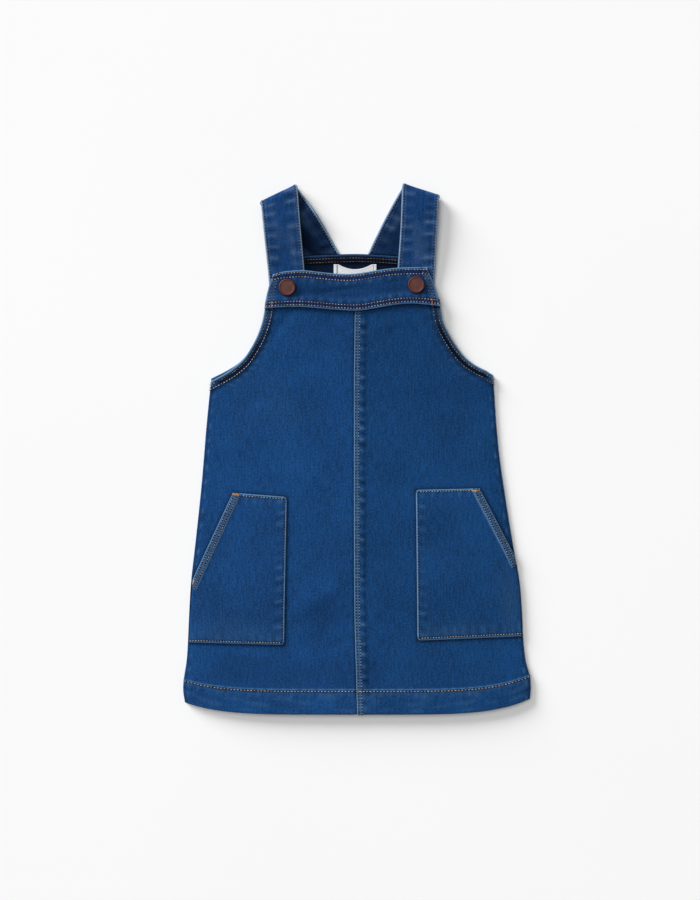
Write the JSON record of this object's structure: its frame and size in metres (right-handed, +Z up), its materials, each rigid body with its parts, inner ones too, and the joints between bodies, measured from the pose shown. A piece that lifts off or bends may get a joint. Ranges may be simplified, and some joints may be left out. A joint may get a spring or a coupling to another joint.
{
  "type": "pinafore dress",
  "caption": "Toddler's sleeveless denim pinafore dress laid out flat, with a bib band, snapped shoulder straps that fold to the back neck, and slanted patch pockets.",
  "frame": {"origin": "under the middle of the dress's outline, on the surface it lies on", "axes": "+X to the right of someone looking down at the front, +Y from the hem towards the straps, +Z up off the surface"},
  "size_m": [0.3122, 0.4766, 0.011],
  "materials": {
    "denim": "mid blue stretch denim, matt, with pale worn ridges along its seams",
    "strap_denim": "the same denim, folded double, with pale worn edges",
    "snap_cap": "dull copper brown plating with a brushed middle and a rolled rim",
    "label_tape": "white woven tape, bare"
  },
  "bodies": {
    "root": {"back": "denim", "front_left": "denim", "front_right": "denim", "bib_band": "denim", "back_neck_facing": "denim", "strap_left": "strap_denim", "strap_right": "strap_denim", "pocket_left": "denim", "pocket_right": "denim", "snap_left": "snap_cap", "snap_right": "snap_cap", "neck_label": "label_tape"}
  },
  "joints": []
}
